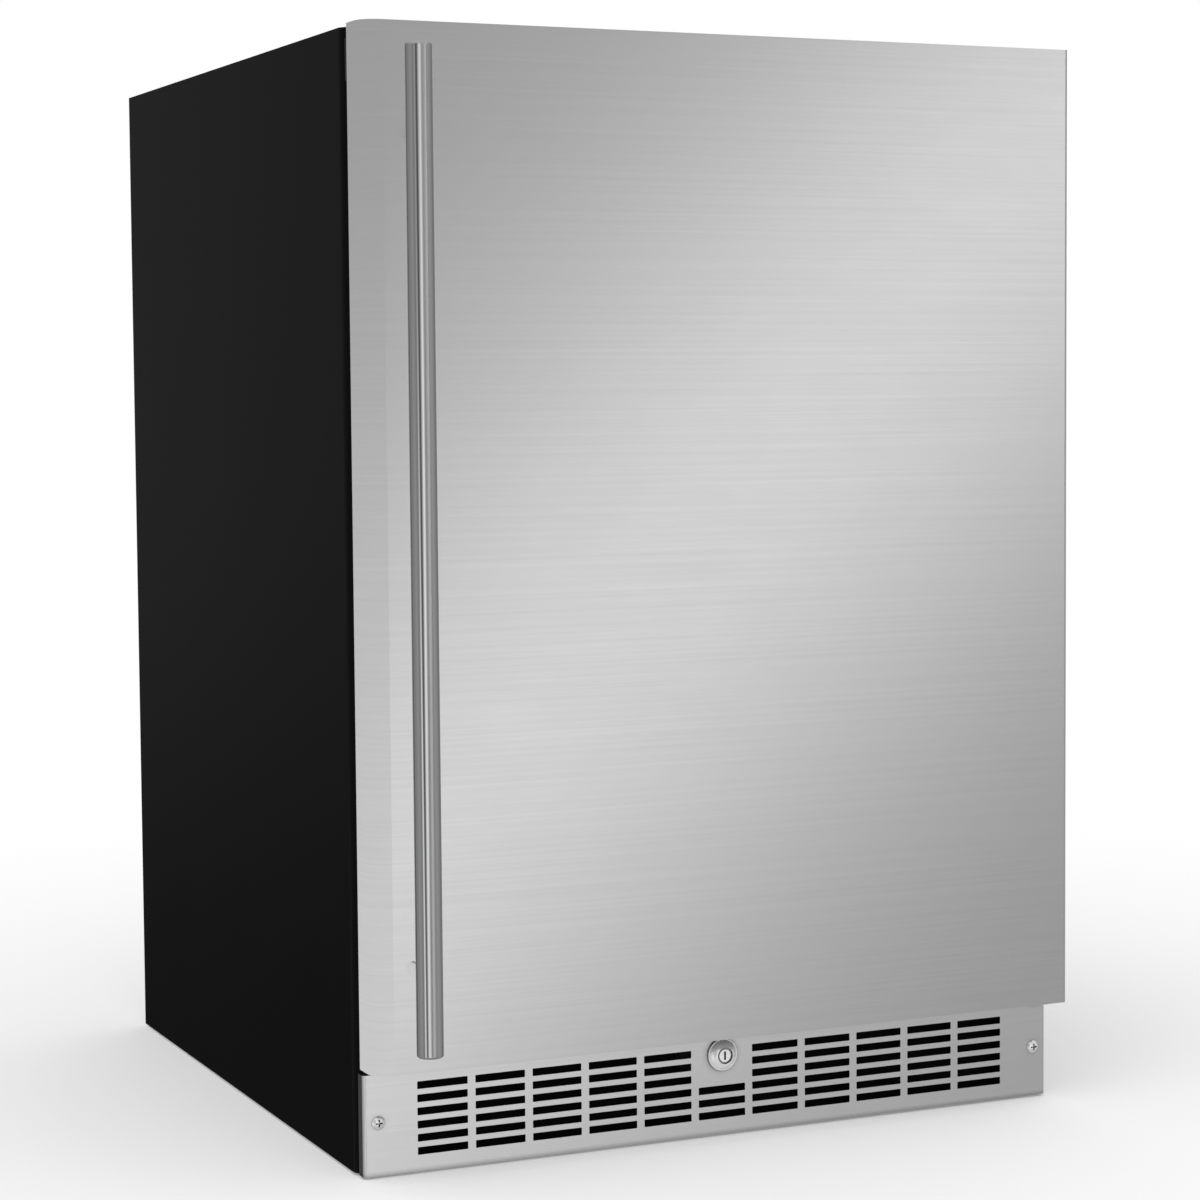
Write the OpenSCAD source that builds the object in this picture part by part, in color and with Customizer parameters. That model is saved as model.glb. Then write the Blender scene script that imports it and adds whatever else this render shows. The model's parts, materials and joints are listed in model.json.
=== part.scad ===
// Undercounter refrigerator with a right-hinged stainless door and a front-breathing toe grille.
// Millimetres, +Z up, front faces -Y. The origin is on the floor, at the middle of the overall footprint.
// Most modules are written from the cabinet's front plane (y = 0, inwards is +Y) and moved by placed().

/* [Cabinet] */
// Width of the cabinet, the door and the toe grille
cab_w = 605; // [596:1:612]
// Height of the cabinet top above the floor
cab_h = 860.5; // [856:0.5:866]
// Depth of the cabinet behind its front plane
cab_d = 588; // [584:1:600]
// Thickness of the insulated walls
wall_t = 45; // [44:1:48]
// Radius of the cabinet's front vertical edges
cab_edge_r = 9; // [7:1:10]

/* [Door] */
// Thickness of the door
door_t = 36; // [35:1:38]
// Gap between the door and the cabinet, filled by the gasket
door_gap = 5; // [5:0.5:6]
// Height of the door's lower edge above the floor
door_z0 = 84.5; // [84:0.5:86]
// Height of the door's upper edge above the floor
door_z1 = 862; // [862:0.5:868]
// Radius of the door's front edge on the handle side
door_edge_r = 16; // [12:1:17]
// Radius of the door's front edge on the hinge side
hinge_edge_r = 3; // [2:0.5:6]

/* [Handle] */
// Diameter of the handle tube
handle_d = 20; // [18:1:24]
// Distance from the door's face to the middle of the tube
handle_out = 35; // [30:1:45]
// Distance from the door's left side to the middle of the tube
handle_in = 31; // [28:1:40]
// Distance from each end of the door to the end of the tube
handle_end = 20; // [10:1:40]

/* [Toe grille] */
// How far the grille's face stands in front of the cabinet
grille_out = 10.7; // [10.5:0.1:12]
// Number of louvre columns, odd so that one is in the middle
grille_cols = 11; // [7:2:11]
// Distance from one louvre column to the next
col_pitch = 47.4; // [46:0.2:48]
// Width of one louvre slot
slot_w = 41; // [36:0.5:42]
// Height of one louvre slot
slot_h = 5.9; // [5:0.1:6.5]
// Distance from one louvre row to the next
row_pitch = 10.1; // [9.5:0.1:10.2]

/* [Inside] */
// Height of the step over the machine space
step_z = 246; // [246:1:248]
// Depth of the floor in front of the step
floor_d = 365; // [362:1:368]
// Thickness of the shelf glass
glass_t = 4; // [3:0.5:5]
// Thickness of the inner plastic walls
liner_t = 1.5; // [1:0.1:1.8]

/* [Hidden] */
$fn = 64;

eps = 0.01;         // overshoot of a cut past the face that it opens
seat = 0.2;         // gap between two pieces that are assembled against each other
run_gap = 0.05;     // radial clearance of a pin or shaft that turns
sheet_t = 0.8;      // cabinet and door sheet
half_w = cab_w / 2;

// Overall footprint
door_face_y = -(door_gap + door_t);
handle_y = door_face_y - handle_out;
handle_x = -half_w + handle_in;
post_r = 5;
front_y = -(cab_d + handle_y - handle_d / 2) / 2;

// Cavity
cav_hw = half_w - wall_t;
cav_z0 = 130;
cav_z1 = cab_h - wall_t;
cav_y1 = cab_d - wall_t - sheet_t;
cav_r = 12;
liner_hw = cav_hw + liner_t;

// Machine space and the air duct under the floor
base_z = 2;
pan_z = 14;
pan_t = 1.2;
pan_top = pan_z + pan_t;
duct_top = 92;
sill_d = 28;
mach_y0 = floor_d + liner_t + 36;
mach_top = step_z - liner_t - 25;
rear_y = cab_d - 28;

// Toe grille
grille_hw = half_w - 1.5;
grille_z0 = 1.8;
grille_z1 = 79.5;
grille_t = 1;
grille_rows = 6;
lock_rows = 3;
row0_z = 17.5;
screw_x = 289;
screw_z = 42.6;

// Lock
lock_z = 65.6;
lock_r = 12.5;
lock_out = 8;
plug_r = 5;
tail_r = 3;
cam_y = -7.5;
cam_t = 1.6;
cam_reach = 26;
cam_slot_hw = 17;
sleeve_r = 7.9;
line_r = 3;
line_bend = 6;
line_y = mach_y0 + 4;
hot_z = 60;
low_z = 21;
liquid_z = 53;
drier_x = 80;
drier_y = mach_y0 + 18;
drier_z = 67;
drier_h = 92;

// Hinge: the pin axis, seen from above
pin_x = half_w - 10.5;
pin_y = -door_gap - 13.5;
pin_r = 3.5;
leaf_r = 7;
leaf_t = 3;
plate_t = 2.5;
plate_x0 = pin_x - 12;
plate_x1 = pin_x + 5;
upper_plate_z = 821;
lower_plate_z = 51;
blank_top_z = 852;
upper_screw_zs = [830, 843];
lower_screw_zs = [58, 71];
hinge_screw_r = 2.5;
hinge_screw_l = 9;
stub_l = 4;
cap_t = 8.3;
cap_inset = 1.7;
upper_leaf_z = door_z1 - 5.5;
lower_leaf_z = 80.4;
pocket_z = upper_leaf_z - 1;
bush_len = 12;
bush_r = 6;

// Door inside
foam_inset = sheet_t + seat;
seal_hw = cav_hw + 6;
seal_w = 14;
seal_z0 = cav_z0 - 18;
seal_z1 = cav_z1 + 18;
ridge_hw = cav_hw - 11.5;
ridge_w = 14;
ridge_z0 = 262;
ridge_z1 = 765;
ridge_out = 12;
bin_hw = ridge_hw - ridge_w - 2.5;
bin_out = 70;
bin_t = 2.5;
lug_y0 = 2;
lug_y1 = 9;
lug_w = 5;
lug_h = 24;
lug_rise = 4;
upper_bin_z = 560;
upper_bin_h = 80;
lower_bin_z = 300;
lower_bin_h = 105;

// Shelves and drawer
ledge_w = 9;
ledge_t = 8;
ledge_tops = [410, 490, 570, 650, 730];
lower_shelf_z = ledge_tops[0];
upper_shelf_z = ledge_tops[2];
shelf_hw = cav_hw - 3.5;
shelf_y0 = 84;
shelf_y1 = 512;
drawer_hw = cav_hw - 22.5;

// Machine parts
comp_x = -165;
comp_y = 480;
comp_r = 62;
comp_z0 = 33.5;
comp_h = 144.5;
mount_x = 54;
mount_y = 40;
cond_x = 225;
cond_row = 11;
cond_pitch = 26;
cond_z0 = 37;
cond_y0 = 424;
cond_y1 = 536;
tube_r = 3.5;
fan_y = 480;
fan_z = 102;
fan_r = 62;
fan_x = 150;
motor_r = 30;
shroud_x = 170;
shaft_r = 3;
cord_x = -120;
cord_z = 40;
gland_r = 6.5;

// Evaporator and drain
evap_hw = 190;
evap_z0 = 330;
evap_z1 = 700;
evap_y = cav_y1 - 9;
drain_x = -165;
drain_y = cav_y1 - 11;
drain_r = 5;

// Controls in the ceiling housing
box_hw = 160;
box_y0 = 18;
box_y1 = 140;
box_z0 = cav_z1 - 32;
knob_x = 105;
switch_x = -120;
control_z = cav_z1 - 16;
plunger_r = 3;

// Feet
foot_x = half_w - 40;
foot_front_y = 40;
foot_rear_y = 535;
stud_r = 5;

black = "#161616";
steel = "#b9bbbc";
white = "#eef0f0";
zinc = "#a8acae";
grey = "#4a4d50";
copper = "#b5703f";
clear = "#cfe3ea";

// ---------- helpers ----------

module placed() {
    translate([0, front_y, 0]) children();
}

// Plan outline with rounded front corners, front edge at y = inset
module front_outline(hw, depth, r, inset = 0) {
    cr = r - inset;
    translate([-hw + inset, r]) square([2 * (hw - inset), depth - r]);
    translate([-hw + r, inset]) square([2 * (hw - r), r]);
    for (sx = [-1, 1]) translate([sx * (hw - r), r]) circle(cr);
}

// Plan outline of the door, inset from its outer faces: soft on the handle side, crisp on the hinge side
module door_outline(inset = 0) {
    rear_r = 5;
    side = half_w - inset;
    mid_y = door_face_y + door_edge_r;
    soft_x = -half_w + door_edge_r;
    crisp_x = half_w - hinge_edge_r;
    translate([-side, mid_y]) square([2 * side, -door_gap - rear_r - mid_y]);
    translate([soft_x, door_face_y + inset]) square([crisp_x - soft_x, door_edge_r]);
    translate([crisp_x - 1, door_face_y + hinge_edge_r])
        square([side - crisp_x + 1, door_edge_r - hinge_edge_r + 1]);
    translate([-half_w + rear_r, -door_gap - rear_r])
        square([2 * (half_w - rear_r), rear_r - inset]);
    translate([soft_x, mid_y]) circle(door_edge_r - inset);
    translate([crisp_x, door_face_y + hinge_edge_r]) circle(hinge_edge_r - inset);
    for (sx = [-1, 1]) translate([sx * (half_w - rear_r), -door_gap - rear_r]) circle(rear_r - inset);
}

// Block between two corners
module block(a, b) {
    translate(a) cube(b - a);
}

// Cylinder along +Y from y0 to y1
module rod_y(x, z, y0, y1, r) {
    translate([x, y0, z]) rotate([-90, 0, 0]) cylinder(h = y1 - y0, r = r);
}

// Rectangle with round corners
module soft_square(w, h, r) {
    translate([-w / 2 + r, -h / 2]) square([w - 2 * r, h]);
    translate([-w / 2, -h / 2 + r]) square([w, h - 2 * r]);
    for (sx = [-1, 1], sy = [-1, 1]) translate([sx * (w / 2 - r), sy * (h / 2 - r)]) circle(r);
}

// Straight length of round tube
module straight(a, b, r) {
    d = b - a;
    translate(a) rotate([0, acos(d[2] / norm(d)), atan2(d[1], d[0])]) cylinder(h = norm(d), r = r);
}

// Quarter bend at corner p, arriving along u and leaving along v
module bend(p, u, v, r, bend_r) {
    c = p + bend_r * (v - u);
    n = cross(u, v);
    multmatrix([
        [-v[0], u[0], n[0], c[0]],
        [-v[1], u[1], n[1], c[1]],
        [-v[2], u[2], n[2], c[2]],
        [0, 0, 0, 1]
    ]) rotate_extrude(angle = 90) translate([bend_r, 0]) circle(r);
}

// Round tube along right-angled points, with bent corners
module pipe(points, r, bend_r) {
    last = len(points) - 1;
    dirs = [for (i = [0:last - 1]) (points[i + 1] - points[i]) / norm(points[i + 1] - points[i])];
    for (i = [0:last - 1]) {
        a = points[i] + (i > 0 ? bend_r : 0) * dirs[i];
        b = points[i + 1] - (i < last - 1 ? bend_r : 0) * dirs[i];
        if (norm(b - a) > eps) straight(a, b, r);
        if (i < last - 1) bend(points[i + 1], dirs[i], dirs[i + 1], r, bend_r);
    }
}

// Cross recess cut into the face of a screw that points along +Z from z = 0
module cross_recess(reach, width, depth) {
    for (a = [0, 90]) rotate([0, 0, a])
        translate([-reach, -width / 2, -eps]) cube([2 * reach, width, depth]);
}

// ---------- cabinet ----------

module outer_wrap() color(black) placed() difference() {
    translate([0, 0, base_z]) linear_extrude(cab_h - base_z) front_outline(half_w, cab_d, cab_edge_r);
    translate([0, 0, base_z - eps]) linear_extrude(cab_h - base_z - sheet_t)
        front_outline(half_w, cab_d + 1, cab_edge_r, sheet_t);
    block([-liner_hw - seat, -1, door_z0], [liner_hw + seat, 2, cav_z1 + liner_t + seat]);
    block([-half_w + 25, -1, 0], [half_w - 25, 2, door_z0 + eps]);
    for (sx = [-1, 1]) rod_y(sx * screw_x, screw_z, -1, 2, 2.2);
    for (z = concat(lower_screw_zs, upper_screw_zs), sx = [-1, 1])
        rod_y(sx * screw_x, z, -1, 2, hinge_screw_r + seat);
}

module back_panel() color(zinc) placed() difference() {
    block([-half_w + 1, cab_d - sheet_t, mach_top], [half_w - 1, cab_d, cab_h - 1]);
    for (z = [mach_top + 60, cab_h - 60])
        translate([0, cab_d - sheet_t - 1, z]) rotate([-90, 0, 0]) cylinder(h = 3, r = 9);
}

// Side view of the cavity, grown outwards by g: the floor, the step and the back wall
module cavity_side(g) {
    translate([-1, cav_z0 - g]) square([floor_d + g + 1, cav_z1 - cav_z0 + 2 * g]);
    translate([-1, step_z - g]) square([cav_y1 + g + 1, cav_z1 - step_z + 2 * g]);
}

module cavity(g) intersection() {
    rotate([90, 0, 90]) translate([0, 0, -cav_hw - g]) linear_extrude(2 * (cav_hw + g)) cavity_side(g);
    translate([0, 0, cav_z0 - g - 1]) linear_extrude(cav_z1 - cav_z0 + 2 * g + 2) {
        translate([-cav_hw - g, -1]) square([2 * (cav_hw + g), cav_y1 - cav_r + 1]);
        translate([-cav_hw + cav_r, 0]) square([2 * (cav_hw - cav_r), cav_y1 + g]);
        for (sx = [-1, 1]) translate([sx * (cav_hw - cav_r), cav_y1 - cav_r]) circle(cav_r + g);
    }
}

module cabinet_foam() color("#e9dfb4") placed() difference() {
    translate([0, 0, duct_top]) linear_extrude(cab_h - sheet_t - seat - duct_top)
        front_outline(half_w, cab_d - sheet_t - seat, cab_edge_r, sheet_t + seat);
    cavity(liner_t + seat);
    block([-half_w, mach_y0, 0], [half_w, cab_d + 1, mach_top]);
    translate([drain_x, drain_y, 0]) cylinder(h = cab_h / 2, r = drain_r + 0.3);
    for (z = upper_screw_zs, sx = [-1, 1]) rod_y(sx * screw_x, z, -1, hinge_screw_l, hinge_screw_r + seat);
    block([-cav_hw, -1, duct_top - 1], [cav_hw, sill_d + 3, cav_z0 - liner_t - seat]);
}

module inner_liner() color(white) placed() difference() {
    union() {
        difference() {
            cavity(liner_t);
            cavity(0);
            block([-half_w, -2, 0], [half_w, seat, cab_h]);
        }
        for (sx = [-1, 1], z = ledge_tops) ledge(sx, z, shelf_y1);
        for (sx = [-1, 1]) ledge(sx, step_z, floor_d + 1);
        trough();
    }
    translate([drain_x, drain_y, 0]) cylinder(h = cab_h / 2, r = drain_r + 0.3);
}

// Moulded shelf ledge on a side wall
module ledge(sx, top, y1) {
    x0 = sx > 0 ? cav_hw - ledge_w : -cav_hw - eps;
    block([x0, 60, top - ledge_t], [x0 + ledge_w + eps, y1, top]);
}

// Moulded trough that catches the defrost water under the evaporator
module trough() difference() {
    block([-evap_hw - 15, cav_y1 - 22, 290], [evap_hw + 15, cav_y1 + eps, 304]);
    block([-evap_hw - 12, cav_y1 - 19, 293], [evap_hw + 12, cav_y1 - 2, 305]);
}

module front_sill() color(black) placed() {
    top = cav_z0 - liner_t - seat;
    flange_hw = liner_hw - 3;
    block([-liner_hw, 0, door_z0], [liner_hw, sheet_t, top]);
    block([-flange_hw, 0, top - sheet_t], [flange_hw, sill_d, top]);
    block([-flange_hw, 0, door_z0], [flange_hw, sill_d, door_z0 + sheet_t]);
}

module base_pan() color(zinc) placed() difference() {
    union() {
        block([-half_w + 1, 14, pan_z], [half_w - 1, rear_y + 26, pan_top]);
        for (sx = [-1, 1])
            block([sx * (half_w - 1.6) - 0.6, 14, pan_z], [sx * (half_w - 1.6) + 0.6, rear_y + 26, 40]);
        block([-half_w + 1, 14, pan_z], [half_w - 1, 15.2, 26]);
        for (x = [-foot_x, foot_x], y = [foot_front_y, foot_rear_y])
            translate([x, y, pan_z]) cylinder(h = 16, r = 10);
    }
    for (x = [-foot_x, foot_x], y = [foot_front_y, foot_rear_y])
        translate([x, y, 0]) cylinder(h = 60, r = stud_r + run_gap);
}

// ---------- toe grille and lock ----------

module grille_slots() {
    mid = (grille_cols - 1) / 2;
    for (col = [-mid:mid], row = [0:(col == 0 ? lock_rows : grille_rows) - 1])
        translate([col * col_pitch, row0_z + row * row_pitch]) soft_square(slot_w, slot_h, 0.6);
}

module toe_grille() color(steel) placed() difference() {
    edge_r = 2.5;
    translate([0, -grille_out, grille_z0]) linear_extrude(grille_z1 - grille_z0)
        front_outline(grille_hw, grille_out - seat, edge_r);
    translate([0, -grille_out, grille_z0 + grille_t]) linear_extrude(grille_z1 - grille_z0 - 2 * grille_t)
        front_outline(grille_hw, grille_out + 2, edge_r, grille_t);
    translate([0, 5 - grille_out, 0]) rotate([90, 0, 0]) linear_extrude(20) grille_slots();
    rod_y(0, lock_z, -20, -5, sleeve_r + seat);
    for (sx = [-1, 1]) rod_y(sx * screw_x, screw_z, -20, -5, 2.2);
    block([-cam_reach, cam_y - 1, grille_z1 - 3], [cam_reach, cam_y + cam_t + 1, grille_z1 + 1]);
    block([plate_x0 - 1, -plate_t - 1, grille_z1 - 3], [plate_x1 + 1, 1, grille_z1 + 1]);
}

module grille_spacers() color(grey) placed() for (sx = [-1, 1]) difference() {
    y0 = -grille_out + grille_t + seat / 2;
    block([sx * screw_x - 7, y0, screw_z - 7], [sx * screw_x + 7, 0, screw_z + 7]);
    rod_y(sx * screw_x, screw_z, -20, 5, 2.1);
}

module grille_screws() color(zinc) placed() for (sx = [-1, 1])
    translate([sx * screw_x, -grille_out, screw_z]) rotate([-90, 0, 0]) difference() {
        head_h = 2.6;
        dome_r = 7;
        union() {
            translate([0, 0, -head_h]) rotate_extrude() intersection() {
                translate([0, dome_r]) circle(dome_r);
                square([5.2, head_h]);
            }
            cylinder(h = 16, r = 2);
        }
        translate([0, 0, -head_h]) cross_recess(2.8, 1.3, 2);
    }

// Domed ring around the plug, on a thin rim against the grille
module lock_bezel() difference() {
    rim = 2;
    dome_r = 15;
    rotate([90, 0, 0]) translate([0, lock_z, grille_out]) rotate_extrude() {
        square([lock_r, rim]);
        intersection() {
            translate([0, lock_out - dome_r]) circle(dome_r);
            translate([0, rim - 1]) square([lock_r - 0.5, lock_out]);
        }
    }
    rod_y(0, lock_z, -30, 0, plug_r + run_gap);
    rod_y(0, lock_z, -grille_out - lock_out - 1, -grille_out - lock_out + 3.2, plug_r + 1.6);
}

// Threaded sleeve behind the bezel, through the grille
module lock_sleeve() difference() {
    rod_y(0, lock_z, -grille_out - eps, cam_y - 0.3, sleeve_r);
    rod_y(0, lock_z, -30, 0, plug_r + run_gap);
}

module lock_body() color("#c9cbcc") placed() {
    lock_bezel();
    lock_sleeve();
}

module lock_plug() color(steel) placed() difference() {
    face_y = -grille_out - lock_out + 2.2;
    union() {
        rod_y(0, lock_z, face_y, cam_y - 0.1, plug_r);
        rod_y(0, lock_z, cam_y - 0.2, cam_y + cam_t + 1.6, tail_r);
    }
    block([-0.8, face_y - 1, lock_z - 3.4], [0.8, face_y + 4, lock_z + 3.4]);
}

module lock_cam() color(zinc) placed() difference() {
    translate([0, cam_y, lock_z]) rotate([-90, 0, 0]) linear_extrude(cam_t) {
        circle(7);
        translate([-cam_reach + 4, -4]) square([cam_reach - 4, 8]);
        translate([-cam_reach + 4, 0]) circle(4);
    }
    rod_y(0, lock_z, -20, 0, tail_r + 0.02);
}

// ---------- hinges ----------

// Leaf around the pin with a stem back to the cabinet, seen from above
module hinge_leaf() {
    translate([pin_x, pin_y]) circle(leaf_r);
    translate([pin_x - leaf_r, pin_y]) square([leaf_r + 2, -pin_y - plate_t + eps]);
}

module hinge_bracket(plate_z0, plate_z1, leaf_z, screw_zs) difference() {
    union() {
        block([plate_x0, -plate_t, plate_z0], [plate_x1, 0, plate_z1]);
        translate([0, 0, leaf_z]) linear_extrude(leaf_t) hinge_leaf();
    }
    for (z = screw_zs) {
        rod_y(screw_x, z, -5, 5, hinge_screw_r + seat);
        translate([screw_x, -plate_t - eps, z]) rotate([-90, 0, 0])
            cylinder(h = 2.3, r1 = 5, r2 = hinge_screw_r + seat);
    }
    translate([pin_x, pin_y, leaf_z - 1]) cylinder(h = leaf_t + 2, r = pin_r + 0.02);
}

module upper_hinge() color(zinc) placed()
    hinge_bracket(upper_plate_z, upper_leaf_z + leaf_t, upper_leaf_z, upper_screw_zs);

module lower_hinge() color(zinc) placed()
    hinge_bracket(lower_plate_z, lower_leaf_z + leaf_t, lower_leaf_z, lower_screw_zs);

module hinge_pins() color(steel) placed() {
    translate([pin_x, pin_y, upper_leaf_z - bush_len + 1]) cylinder(h = bush_len + leaf_t, r = pin_r);
    translate([pin_x, pin_y, lower_leaf_z - 0.6]) cylinder(h = bush_len + leaf_t + 2, r = pin_r);
}

module hinge_screws() color(zinc) placed() for (z = concat(lower_screw_zs, upper_screw_zs))
    translate([screw_x, -plate_t + 0.05, z]) rotate([-90, 0, 0]) difference() {
        union() {
            cylinder(h = 2.1, r1 = 4.8, r2 = hinge_screw_r + 0.1);
            cylinder(h = hinge_screw_l, r = hinge_screw_r);
        }
        cross_recess(2.2, 0.9, 1.4);
    }

// Plate with two push-in stubs over the unused hinge holes on the left, with a raised border
module hinge_hole_cover() color(black) placed() difference() {
    border = 1.5;
    x0 = -plate_x1 - 3.5;
    union() {
        block([x0, -2, upper_plate_z], [-plate_x0, -0.1, blank_top_z]);
        for (z = upper_screw_zs) rod_y(-screw_x, z, -1, stub_l, hinge_screw_r);
    }
    block([x0 + border, -2.5, upper_plate_z + border], [-plate_x0 - border, -1.4, blank_top_z - border]);
}

// ---------- cooling circuit ----------

module compressor() color("#1d1e1f") placed() translate([comp_x, comp_y, comp_z0]) {
    low_r = 20;
    dome_r = 30;
    seam_z = 70;
    rotate_extrude() {
        translate([0, low_r]) square([comp_r, seam_z + 2 - low_r]);
        square([comp_r - low_r, comp_h - 20]);
        translate([comp_r - low_r, low_r]) circle(low_r);
        translate([0, seam_z]) square([comp_r + 3, 4]);
        translate([0, seam_z + 2]) square([comp_r - 1, comp_h - dome_r - seam_z - 2]);
        square([comp_r - 1 - dome_r, comp_h]);
        translate([comp_r - 1 - dome_r, comp_h - dome_r]) circle(dome_r);
    }
    for (sy = [-1, 1]) translate([0, sy * mount_y, 0]) difference() {
        block([-mount_x - 14, -14, -2.5], [mount_x + 14, 14, 2]);
        for (sx = [-1, 1]) translate([sx * mount_x, 0, -5]) cylinder(h = 10, r = 6);
    }
}

module compressor_grommets() color("#26262a") placed()
    for (sx = [-1, 1], sy = [-1, 1])
        translate([comp_x + sx * mount_x, comp_y + sy * mount_y, pan_top]) difference() {
        rotate_extrude() {
            square([10, comp_z0 - 2.5 - pan_top]);
            square([5.8, comp_z0 - pan_top + 2]);
            translate([0, comp_z0 - pan_top + 2.1]) square([8, 3]);
            translate([0, comp_z0 - pan_top]) square([5.8, 4]);
        }
        translate([0, 0, -1]) cylinder(h = 60, r = 3);
    }

module terminal_cover() color(black) placed() difference() {
    block([comp_x - comp_r - 26, comp_y - 24, 50], [comp_x - comp_r + 8, comp_y + 24, 100]);
    translate([comp_x, comp_y, 0]) cylinder(h = 200, r = comp_r + seat);
    block([comp_x - comp_r - 24, comp_y - 22, 52], [comp_x - comp_r + 9, comp_y + 22, 98]);
}

module condenser_fins() color("#d5d8da") placed() {
    fin_t = 0.6;
    fin_pitch = 5;
    h = 5 * cond_pitch + 30;
    for (y = [cond_y0 + 4:fin_pitch:cond_y1 - 4]) translate([cond_x, y, cond_z0 - 15]) rotate([90, 0, 0])
        translate([0, 0, -fin_t / 2]) linear_extrude(fin_t) difference() {
            translate([-21, 0]) square([42, h]);
            for (sx = [-1, 1], k = [0:5])
                translate([sx * cond_row, 15 + k * cond_pitch]) circle(tube_r + 0.05);
        }
}

// One row of the serpentine through the fins: six runs joined by return bends
function row_points(x) = [
    for (k = [0:5], e = [0, 1])
        let (there = (k + e) % 2 == 0)
        [x, there ? cond_y0 - cond_pitch / 2 : cond_y1 + cond_pitch / 2, cond_z0 + k * cond_pitch]
];

// A row's points with both open ends cut back level with the fins
function open_ended(path) = [
    for (i = [0:len(path) - 1]) path[i] + (i == 0 || i == len(path) - 1 ? [0, 10, 0] : [0, 0, 0])
];

module condenser_tube() color(copper) placed() {
    near_x = cond_x - cond_row;
    far_x = cond_x + cond_row;
    top = cond_z0 + 5 * cond_pitch;
    joint_y = cond_y0 - cond_pitch / 2 + 10;
    for (x = [near_x, far_x]) pipe(open_ended(row_points(x)), tube_r, cond_pitch / 2);
    cross_y = joint_y - 14;
    pipe([
        [near_x, joint_y, top],
        [near_x, cross_y, top],
        [far_x, cross_y, top],
        [far_x, joint_y, top]
    ], tube_r, cond_row);
}

module fan_shroud() color(grey) placed() difference() {
    hw = fan_r + 6;
    z0 = 18;
    z1 = 190;
    union() {
        block([shroud_x, fan_y - hw, z0], [shroud_x + 28, fan_y + hw, z1]);
        for (a = [45, 135, 225, 315]) translate([shroud_x, fan_y, fan_z]) rotate([a, 0, 0])
            block([-46, motor_r - 4, -4], [-43, fan_r + 12, 4]);
        for (a = [45, 135, 225, 315]) translate([shroud_x, fan_y, fan_z]) rotate([a, 0, 0])
            block([-46, fan_r + 6, -4], [1, fan_r + 12, 4]);
    }
    block([shroud_x + 2, fan_y - hw + 2, z0 + 2], [shroud_x + 30, fan_y + hw - 2, z1 - 2]);
    translate([shroud_x - 1, fan_y, fan_z]) rotate([0, 90, 0]) cylinder(h = 5, r = fan_r + 3);
    translate([shroud_x - 60, fan_y, fan_z]) rotate([0, 90, 0]) cylinder(h = 30, r = motor_r + seat);
}

module fan_motor() color("#303236") placed() translate([0, fan_y, fan_z]) rotate([0, 90, 0]) {
    translate([0, 0, fan_x - 46]) cylinder(h = 28, r = motor_r);
    translate([0, 0, fan_x - 54]) cylinder(h = 8, r = 22);
    translate([0, 0, fan_x - 18]) cylinder(h = 6, r = 12);
    translate([0, 0, fan_x - 18]) cylinder(h = 32, r = shaft_r);
}

module fan_blade() color("#dcdcd6") placed()
    translate([fan_x, fan_y, fan_z]) rotate([0, 90, 0]) difference() {
    pitch = 28;
    union() {
        translate([0, 0, -8]) cylinder(h = 18, r = 18);
        intersection() {
            for (a = [0:72:359]) rotate([0, 0, a]) rotate([pitch, 0, 0]) translate([12, -20, -1])
                cube([fan_r, 40, 2]);
            translate([0, 0, -11]) cylinder(h = 24, r = fan_r);
        }
    }
    translate([0, 0, -20]) cylinder(h = 40, r = shaft_r + run_gap);
}

module filter_drier() color(copper) placed() translate([drier_x, drier_y, drier_z]) rotate_extrude() {
    translate([0, 8]) square([9, drier_h - 16]);
    square([5, drier_h]);
}

module refrigerant_tubes() color(copper) placed() {
    near_x = cond_x - cond_row;
    far_x = cond_x + cond_row;
    joint_y = cond_y0 - cond_pitch / 2 + 10 - seat / 2;
    side = 30;
    shell_y = 48;
    up = comp_z0 + 86;
    down_x = 40;
    braze_x = 120;
    // hot gas from the compressor to the condenser's lower run, in two lengths joined by a sleeve
    pipe([
        [comp_x + side, comp_y - shell_y, hot_z],
        [comp_x + side, line_y, hot_z],
        [down_x, line_y, hot_z],
        [down_x, line_y, low_z],
        [braze_x - seat / 2, line_y, low_z]
    ], line_r, line_bend);
    pipe([
        [braze_x + seat / 2, line_y, low_z],
        [near_x, line_y, low_z],
        [near_x, line_y, cond_z0],
        [near_x, joint_y, cond_z0]
    ], line_r, line_bend);
    translate([braze_x - 10, line_y, low_z]) rotate([0, 90, 0]) difference() {
        cylinder(h = 20, r = line_r + 1);
        translate([0, 0, -1]) cylinder(h = 22, r = line_r + 0.05);
    }
    // liquid from the condenser to the filter drier
    pipe([
        [far_x, joint_y, cond_z0],
        [far_x, line_y, cond_z0],
        [far_x, line_y, liquid_z],
        [drier_x, line_y, liquid_z],
        [drier_x, drier_y, liquid_z],
        [drier_x, drier_y, drier_z - seat / 2]
    ], line_r, line_bend);
    // capillary from the drier up into the insulation
    straight([drier_x, drier_y, drier_z + drier_h + seat / 2], [drier_x, drier_y, mach_top - seat], 1.5);
    // suction line from the insulation down to the compressor
    pipe([
        [comp_x - side, comp_y + shell_y, up],
        [comp_x - side, rear_y - 8, up],
        [comp_x - side, rear_y - 8, mach_top - seat]
    ], line_r, line_bend);
}

// Serpentine channel drawn flat: runs of the given half length joined by half rings
module serpentine_flat(half_len, rows, pitch, w) {
    for (k = [0:rows - 1]) translate([-half_len, k * pitch - w / 2]) square([2 * half_len, w]);
    for (k = [0:rows - 2]) {
        sx = k % 2 == 0 ? 1 : -1;
        translate([sx * half_len, (k + 0.5) * pitch]) difference() {
            circle((pitch + w) / 2);
            circle((pitch - w) / 2);
            translate([sx > 0 ? -pitch : 0, -pitch]) square([pitch, 2 * pitch]);
        }
    }
}

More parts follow.
